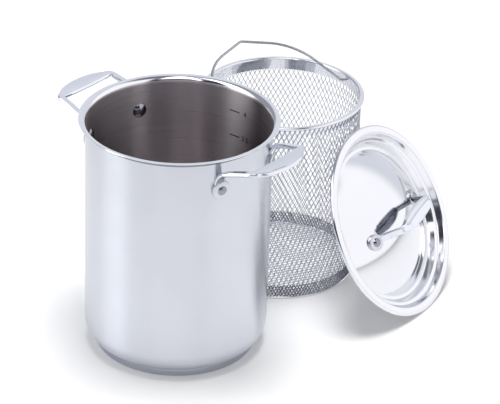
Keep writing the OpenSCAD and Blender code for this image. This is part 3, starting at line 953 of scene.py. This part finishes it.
# %% [markdown]
# ## The basket's rim
#
# A polished band clamps the cut edge of the mesh. Above it the sheet is rolled outwards into a
# bead, which is the line of light round the top of the basket.

# %% Rim band
BASKET_R = 75.0
BASKET_H = 176.0
BEAD_D = 3.0
BEAD_END = -190
BEAD_STEPS = 30
BAND_R = 70.4
BAND_T = 0.8
BAND_H = 11.0
BAND_BEND = 0.6


def band_outline():
    """From the band's lower edge up its inside, round the bead, and down its outside."""
    bead_z = BASKET_H - BEAD_D / 2
    roll = arc((BASKET_R - BEAD_D / 2, bead_z), BEAD_D / 2, 90, BEAD_END, BEAD_STEPS)
    inner_top = arc((BAND_R + BEAD_D / 2, bead_z), BEAD_D / 2, 180, 90, steps=6)
    low = (BAND_R, BASKET_H - BAND_H)
    back = [(BAND_R + BAND_T + BAND_BEND, bead_z), (BAND_R + BAND_T, BASKET_H - BEAD_D),
            (BAND_R + BAND_T, BASKET_H - BAND_H)]
    return [low] + inner_top + roll + back + [low]


basket_stands = Matrix.Translation(BASKET_PLACE * MM)
rim_band = put(spin_outline("rim_band", band_outline()), basket_stands)
dress(rim_band, polished_steel)
stand_for(rim_band, "pot", "polished_steel", "basket_rim_band")

# %% [markdown]
# ## The mesh
#
# The wall is wire cloth with tall diamonds, about 4.5 mm wide and 8.6 mm high. Two families of
# wires climb round the basket, one to the left and one to the right. One wire of a family is a
# small ring, turned and lifted by Screw into a long steep helix, and Array copies it round the
# axis. At each crossing one family passes outside and the next time inside.

# %% One wire of the cloth
MESH_R = 71.7
WIRES = 98
WIRE_R = 0.34
WIRE_SIDES = 5
CELL_H = 8.6
CELL_W = math.tau * MESH_R / WIRES
WALL_LOW = 2.4
WALL_HIGH = 172.5
WEAVE = 0.3
TUBE_SMOOTH = math.radians(80)


def helix_wire(name, low, high, lean, radius, sides, step_h, weave=0.0):
    """A wire that climbs from low to high round the axis, to the left or right by its lean of
    1 or -1. With a weave it passes in and out by that much from one crossing to the next."""
    steps = max(2, round((high - low) / step_h))
    slope = math.atan2(CELL_H, CELL_W)
    nothing_selected()
    bpy.ops.mesh.primitive_circle_add(vertices=sides, radius=WIRE_R * MM,
                                      location=(radius * MM, 0, low * MM), rotation=(math.pi / 2, 0, 0))
    wire = bpy.context.object
    wire.name = name
    bpy.ops.object.transform_apply(location=False, rotation=True, scale=False)
    wire.scale = (1, 1, 1 / math.cos(slope))
    bpy.ops.object.transform_apply(location=True, rotation=False, scale=True)
    screw = wire.modifiers.new("climb", "SCREW")
    screw.axis = "Z"
    screw.angle = lean * (high - low) * CELL_W / CELL_H / radius
    screw.screw_offset = (high - low) * MM
    screw.steps = steps
    screw.render_steps = steps
    screw.use_merge_vertices = False
    screw.use_normal_calculate = True
    bpy.ops.object.modifier_apply(modifier=screw.name)
    if weave:
        for vert in wire.data.vertices:
            crossing = round((vert.co.z / MM - low) / (high - low) * steps)
            side = -lean if crossing % 2 else lean
            flat = Vector((vert.co.x, vert.co.y, 0))
            vert.co += flat.normalized() * side * weave * MM
    return wire


# %% Copy the wire round the axis


def array_round(piece, count):
    """Copies a piece round the upright axis."""
    nothing_selected()
    bpy.ops.object.empty_add(location=(0, 0, 0), rotation=(0, 0, math.tau / count))
    pivot = bpy.context.object
    copies = piece.modifiers.new("round", "ARRAY")
    copies.use_relative_offset = False
    copies.use_object_offset = True
    copies.offset_object = pivot
    copies.count = count
    bpy.context.view_layer.objects.active = piece
    piece.select_set(True)
    bpy.ops.object.modifier_apply(modifier=copies.name)
    bpy.data.objects.remove(pivot)
    return piece


def tidy_tubes(piece):
    """Points the faces of all wires outwards and shades them smooth."""
    nothing_selected()
    piece.select_set(True)
    bpy.context.view_layer.objects.active = piece
    bpy.ops.object.mode_set(mode="EDIT")
    bpy.ops.mesh.select_all(action="SELECT")
    bpy.ops.mesh.normals_make_consistent(inside=False)
    bpy.ops.object.mode_set(mode="OBJECT")
    bpy.ops.object.shade_smooth_by_angle(angle=TUBE_SMOOTH)
    return piece


# %% Wire cloth of the wall
cloth = []
for lean in (1, -1):
    wire = helix_wire("wire", WALL_LOW, WALL_HIGH, lean, MESH_R, WIRE_SIDES, CELL_H / 2, WEAVE)
    cloth.append(array_round(wire, WIRES))
wall_cloth = put(tidy_tubes(join("wall_cloth", cloth)), basket_stands)
dress(wall_cloth, drawn_wire)
stand_for(wall_cloth, "pot", "mesh_steel", "basket_wall")

# %% [markdown]
# ## The folded edge at the bottom
#
# Where wall and floor meet, the cloth is folded over on itself. From outside the fold is a
# dense dark band a centimetre high, above the hoop that the basket stands on.

# %% Folded band
FOLD_LOW = WALL_LOW - 0.3
FOLD_TOP = 13.0
FOLD_WIRES = 150
FOLD_RADII = (MESH_R - 0.55, MESH_R + 0.25)
FINE_SIDES = 4
fold = []
for lean in (1, -1):
    for radius in FOLD_RADII:
        wire = helix_wire("fold_wire", FOLD_LOW, FOLD_TOP, lean, radius, FINE_SIDES, CELL_H / 4)
        fold.append(array_round(wire, FOLD_WIRES))
fold_band = put(tidy_tubes(join("fold_band", fold)), basket_stands)
# The fold's darker steel is painted shade between its layered wires.
dress(fold_band, fold_painted_shade_steel)
stand_for(fold_band, "pot", "mesh_steel", "basket_wall")

# %% [markdown]
# ## The floor of the basket
#
# The floor is a disc of the same cloth. Long wires are laid side by side in two directions,
# and everything outside the circle is cut away.

# %% Wire cloth of the floor
FLOOR_Z = 2.9
FLOOR_R = 71.2
FLOOR_LAYER = 0.28
FLOOR_STEPS = 40


def straight_wires(lean):
    """Parallel wires of the floor: one ring is extruded across, then copied sideways."""
    slope = math.atan2(CELL_H, CELL_W)
    gap = CELL_W * math.sin(slope)
    nothing_selected()
    bpy.ops.mesh.primitive_circle_add(vertices=FINE_SIDES, radius=WIRE_R * MM,
                                      location=(-FLOOR_R * MM, 0, 0), rotation=(0, math.pi / 2, 0))
    wire = bpy.context.object
    wire.name = "floor_wire"
    bpy.ops.object.transform_apply(location=True, rotation=True, scale=True)
    bpy.ops.object.mode_set(mode="EDIT")
    bpy.ops.mesh.select_all(action="SELECT")
    step = (2 * FLOOR_R * MM / FLOOR_STEPS, 0, 0)
    for _ in range(FLOOR_STEPS):
        bpy.ops.mesh.extrude_region_move(TRANSFORM_OT_translate={"value": step})
    bpy.ops.object.mode_set(mode="OBJECT")
    count = int(2 * FLOOR_R / gap)
    rows = wire.modifiers.new("rows", "ARRAY")
    rows.use_relative_offset = False
    rows.use_constant_offset = True
    rows.constant_offset_displace = (0, gap * MM, 0)
    rows.count = count
    bpy.ops.object.modifier_apply(modifier=rows.name)
    height = FLOOR_Z + lean * FLOOR_LAYER
    middle = Matrix.Translation((0, -gap * (count - 1) / 2 * MM, height * MM))
    return put(wire, Matrix.Rotation(lean * slope, 4, "Z") @ middle)


floor_cloth = join("floor_cloth", [straight_wires(1), straight_wires(-1)])
bpy.ops.object.mode_set(mode="EDIT")
mesh = bmesh.from_edit_mesh(floor_cloth.data)
bpy.ops.mesh.select_all(action="DESELECT")
for vert in mesh.verts:
    vert.select = math.hypot(vert.co.x, vert.co.y) > FLOOR_R * MM
mesh.select_flush(True)
bmesh.update_edit_mesh(floor_cloth.data)
bpy.ops.mesh.delete(type="VERT")
bpy.ops.object.mode_set(mode="OBJECT")
put(tidy_tubes(floor_cloth), basket_stands)
dress(floor_cloth, drawn_wire)
stand_for(floor_cloth, "pot", "mesh_steel", "basket_floor")

# %% [markdown]
# ## The bottom hoop
#
# A ring of thicker wire is welded under the fold and carries the basket's weight.

# %% Bottom hoop
HOOP_R = 1.2
HOOP_SIDES = 16
hoop_outline = arc((MESH_R, HOOP_R), HOOP_R, 0, 360, HOOP_SIDES)
bottom_hoop = put(spin_outline("bottom_hoop", hoop_outline), basket_stands)
dress(bottom_hoop, polished_steel)
stand_for(bottom_hoop, "pot", "wire_steel", "basket_bottom_hoop")

# %% [markdown]
# ## The bail
#
# The bail is one bent wire. Its feet go through holes in the rim band, its legs rise steeply,
# and two straight bars meet in a blunt peak, which keeps a hook in the middle. The line is
# drawn as an outline, turned into a curve, and given the wire's thickness.

# %% Middle line of the bail
PIVOT_Z = 171.0
PIVOT_TURN = math.radians(73)
BAIL_LEAN = math.radians(68.5)
BAIL_R = 1.2
BAIL_H = 73.5
BAIL_SLOPE = 22
LEG_SLOPE = 71
SHOULDER_R = 54.0
FOOT_R = 3.5
PEAK_R = 6.0
FOOT_X = 69.2
PIN_L = 4.0
BAIL_SMOOTH = math.radians(40)


def sin(degrees):
    return math.sin(math.radians(degrees))


def cos(degrees):
    return math.cos(math.radians(degrees))


def bail_half():
    """Middle line of the right half, from its foot to the peak."""
    leg_a, top_a = 180 - LEG_SLOPE, 180 - BAIL_SLOPE
    slope = math.tan(math.radians(BAIL_SLOPE))
    leg_x, leg_z = FOOT_X - FOOT_R * sin(leg_a), FOOT_R * (1 + cos(leg_a))
    dx = SHOULDER_R * (sin(leg_a) - sin(top_a))
    dz = SHOULDER_R * (cos(leg_a) - cos(top_a))
    meet = BAIL_H + PEAK_R * (1 / cos(BAIL_SLOPE) - 1)
    leg = (meet - leg_z - dz - (leg_x - dx) * slope) / (sin(LEG_SLOPE) - cos(LEG_SLOPE) * slope)
    x, z = leg_x - leg * cos(LEG_SLOPE), leg_z + leg * sin(LEG_SLOPE)
    foot = arc((FOOT_X, FOOT_R), FOOT_R, -90, -90 - LEG_SLOPE, steps=10)
    shoulder = arc((x - SHOULDER_R * sin(leg_a), z + SHOULDER_R * cos(leg_a)), SHOULDER_R,
                   leg_a - 90, top_a - 90, steps=16)
    peak = arc((0.0, BAIL_H - PEAK_R), PEAK_R, 90 - BAIL_SLOPE, 90, steps=4)
    return [(FOOT_X + PIN_L, 0.0)] + foot + shoulder + peak


# %% Bail
half_line = bail_half()
bail_wire = draw_outline("bail_wire", half_line + [(-x, z) for x, z in half_line[-2::-1]])
bpy.ops.object.mode_set(mode="OBJECT")
bpy.ops.object.convert(target="CURVE")
bail_wire = bpy.context.object
bail_wire.data.bevel_depth = BAIL_R * MM
bail_wire.data.bevel_resolution = 5
bail_wire.data.use_fill_caps = True
bpy.ops.object.convert(target="MESH")
bail_wire = bpy.context.object
bail_wire.name = "bail_wire"
bail_place = (Matrix.Translation((BASKET_PLACE + Vector((0, 0, PIVOT_Z))) * MM)
              @ Matrix.Rotation(PIVOT_TURN, 4, "Z") @ Matrix.Rotation(-BAIL_LEAN, 4, "X"))
put(bail_wire, bail_place)
bpy.ops.object.shade_smooth_by_angle(angle=BAIL_SMOOTH)
dress(bail_wire, bail_steel)
stand_for(bail_wire, "bail", "wire_steel", "bail")

# %% [markdown]
# ## The table
#
# The photograph was taken on a white table, in soft light that comes mostly from above, so the
# shadows lie close round each foot. The table is a shade lighter to the camera and to the
# mirrors than to the lamps: it stays white, and still takes the grey shadows.

# %% White table
TABLE_SIZE = 12.0
TABLE_TONE = (0.88, 0.88, 0.89)
TABLE_GLOW = 0.16


def white_table():
    nothing_selected()
    bpy.ops.mesh.primitive_plane_add(size=TABLE_SIZE, location=(0, 0, 0))
    table = bpy.context.object
    table.name = "studio_floor"
    material = bpy.data.materials.new("white_table")
    material.use_nodes = True
    n, link = material.node_tree.nodes, material.node_tree.links
    shader = n["Principled BSDF"]
    shader.inputs["Base Color"].default_value = (*TABLE_TONE, 1)
    shader.inputs["Roughness"].default_value = 0.8
    shader.inputs["Specular IOR Level"].default_value = 0.0
    glow = n.new("ShaderNodeEmission")
    glow.inputs["Color"].default_value = (1, 1, 1, 1)
    seen = n.new("ShaderNodeLightPath")
    either = n.new("ShaderNodeMath")
    either.operation = "MAXIMUM"
    amount = n.new("ShaderNodeMath")
    amount.operation = "MULTIPLY"
    amount.inputs[1].default_value = TABLE_GLOW
    both = n.new("ShaderNodeAddShader")
    link.new(seen.outputs["Is Camera Ray"], either.inputs[0])
    link.new(seen.outputs["Is Glossy Ray"], either.inputs[1])
    link.new(either.outputs["Value"], amount.inputs[0])
    link.new(amount.outputs["Value"], glow.inputs["Strength"])
    link.new(shader.outputs["BSDF"], both.inputs[0])
    link.new(glow.outputs["Emission"], both.inputs[1])
    link.new(both.outputs["Shader"], n["Material Output"].inputs["Surface"])
    dress(table, material)


white_table()
print("table:", TABLE_SIZE, "m square")

# %% [markdown]
# ## Light
#
# Polished steel has hardly any colour of its own, it shows the studio. So the studio matters as
# much as the metal. Each pale wall, soft light and dark card of it is a soft-edged panel in the
# world, placed by its direction, and a node group makes the panel's mask.

# %% Node group: panel of the studio
STRAIGHT_UP = 1e-6


def make_panel():
    """Mask of a soft-edged panel: 1 inside its half width and half height, in radians."""
    group, entry, leave = new_group(
        "panel",
        [("Ahead X", 1), ("Ahead Y", 0), ("Half Width", 0.4), ("Height", 0.4), ("Half Height", 0.4),
         ("Softness", 0.3)],
        [("Mask", "NodeSocketFloat")])
    n, link = group.nodes, group.links

    def maths(operation, a, b=None):
        node = n.new("ShaderNodeMath")
        node.operation = operation
        for i, value in enumerate(v for v in (a, b) if v is not None):
            if isinstance(value, (int, float)):
                node.inputs[i].default_value = value
            else:
                link.new(value, node.inputs[i])
        return node.outputs["Value"]

    def edge(distance, half):
        fade = n.new("ShaderNodeMapRange")
        fade.interpolation_type = "SMOOTHSTEP"
        fade.inputs["To Min"].default_value = 1
        fade.inputs["To Max"].default_value = 0
        link.new(distance, fade.inputs["Value"])
        link.new(half, fade.inputs["From Min"])
        link.new(maths("ADD", half, entry.outputs["Softness"]), fade.inputs["From Max"])
        return fade.outputs["Result"]

    place = n.new("ShaderNodeTexCoord")
    parts = n.new("ShaderNodeSeparateXYZ")
    link.new(place.outputs["Generated"], parts.inputs["Vector"])
    x, y, z = parts.outputs["X"], parts.outputs["Y"], parts.outputs["Z"]
    squares = maths("ADD", maths("MULTIPLY", x, x), maths("MULTIPLY", y, y))
    level = maths("SQRT", maths("MAXIMUM", squares, STRAIGHT_UP))
    ahead = maths("ADD", maths("MULTIPLY", x, entry.outputs["Ahead X"]),
                  maths("MULTIPLY", y, entry.outputs["Ahead Y"]))
    aside = maths("ARCCOSINE", maths("MINIMUM", maths("MAXIMUM", maths("DIVIDE", ahead, level), -1), 1))
    above = maths("ABSOLUTE", maths("SUBTRACT", maths("ARCTAN2", z, level), entry.outputs["Height"]))
    wide = edge(aside, entry.outputs["Half Width"])
    high = edge(above, entry.outputs["Half Height"])
    link.new(maths("MULTIPLY", wide, high), leave.inputs["Mask"])
    return group


panel = make_panel()
print("node group:", panel.name)

# %% [markdown]
# ## The studio
#
# The walls' colour fills the whole world, and each panel is laid over those before it: the
# bright horizon, the ceiling and the back wall, then dark cards, then the lights. Two lamps
# light the table from above, and the mirrors don't see them.

# %% Panels of the studio
EVEN_LIGHT = 0.34
WALLS = (0.66, 0.69, 0.77)
# A panel is (side, height, half width, half height, softness, colour): the side is counted from
# the camera's to the right, and all angles are degrees.
PANELS = [
    (180, 0, 180, 10, 14, (0.90, 0.93, 0.98)),
    (180, 90, 180, 12, 14, (0.6, 0.6, 0.64)),
    (180, 34, 70, 20, 16, (0.85, 0.87, 0.92)),
    (8, 56, 36, 34, 14, (0.05, 0.05, 0.06)),
    (-44, 36, 16, 14, 10, (0.05, 0.05, 0.06)),
    (-130, 44, 18, 50, 16, (0.35, 0.36, 0.4)),
    (134, 70, 8, 18, 8, (0.05, 0.05, 0.06)),
    (105, 78, 50, 12, 12, (0.22, 0.22, 0.25)),
    (4, 66, 20, 14, 14, (2.5, 2.35, 2.4)),
    (-78, 30, 6, 34, 20, (3.8, 3.8, 3.86)),
    (140, 26, 14, 26, 12, (0.82, 0.84, 0.9)),
    (86, 17, 36, 37, 14, (1.22, 1.21, 1.22)),
    (-23, 64, 2, 22, 6, (4.4, 4.0, 4.1)),
]


def studio_world():
    """The panels for the mirrors, white for the camera, and an even soft grey for the table."""
    world = bpy.data.worlds.new("studio")
    bpy.context.scene.world = world
    world.use_nodes = True
    n, link = world.node_tree.nodes, world.node_tree.links
    colour = None
    for side, height, half_width, half_height, softness, tone in PANELS:
        place = math.radians(side) + CAMERA_AZIMUTH - math.pi / 2
        mask = n.new("ShaderNodeGroup")
        mask.node_tree = panel
        mask.inputs["Ahead X"].default_value = math.cos(place)
        mask.inputs["Ahead Y"].default_value = math.sin(place)
        mask.inputs["Half Width"].default_value = math.radians(half_width)
        mask.inputs["Height"].default_value = math.radians(height)
        mask.inputs["Half Height"].default_value = math.radians(half_height)
        mask.inputs["Softness"].default_value = math.radians(softness)
        lay = n.new("ShaderNodeMix")
        lay.data_type = "RGBA"
        lay.inputs["A"].default_value = (*WALLS, 1)
        lay.inputs["B"].default_value = (*tone, 1)
        link.new(mask.outputs["Mask"], lay.inputs["Factor"])
        if colour:
            link.new(colour, lay.inputs["A"])
        colour = lay.outputs["Result"]
    mirrored = n["Background"]
    link.new(colour, mirrored.inputs["Color"])
    seen = n.new("ShaderNodeLightPath")
    white = n.new("ShaderNodeBackground")
    white.inputs["Color"].default_value = (1, 1, 1, 1)
    even = n.new("ShaderNodeBackground")
    even.inputs["Color"].default_value = (1, 1, 1, 1)
    even.inputs["Strength"].default_value = EVEN_LIGHT
    first, second = n.new("ShaderNodeMixShader"), n.new("ShaderNodeMixShader")
    link.new(seen.outputs["Is Glossy Ray"], first.inputs["Fac"])
    link.new(even.outputs["Background"], first.inputs[1])
    link.new(mirrored.outputs["Background"], first.inputs[2])
    link.new(seen.outputs["Is Camera Ray"], second.inputs["Fac"])
    link.new(first.outputs["Shader"], second.inputs[1])
    link.new(white.outputs["Background"], second.inputs[2])
    link.new(second.outputs["Shader"], n["World Output"].inputs["Surface"])


# %% Light the studio
# A lamp is (name, place, aim, width and height, power), in metres and watts.
LAMPS = [
    ("key_softbox", (-0.9, -1.5, 1.6), (0, 0.05, 0.1), (1.0, 1.0), 3),
    ("top_softbox", (0.0, 0.1, 2.0), (0, 0.1, 0), (0.8, 0.8), 33),
]


def softbox(name, place, aim, size, power):
    """A lamp for the table and its shadows. The mirrors see the panels instead."""
    lamp = bpy.data.lights.new(name, "AREA")
    lamp.shape = "RECTANGLE"
    lamp.size, lamp.size_y = size
    lamp.energy = power
    box = bpy.data.objects.new(name, lamp)
    bpy.context.scene.collection.objects.link(box)
    away = (Vector(place) - Vector(aim)).normalized()
    box.matrix_world = Matrix.Translation(place) @ away.to_track_quat("Z", "Y").to_matrix().to_4x4()
    box.visible_glossy = False


studio_world()
for values in LAMPS:
    softbox(*values)
print("panels in the studio:", len(PANELS))
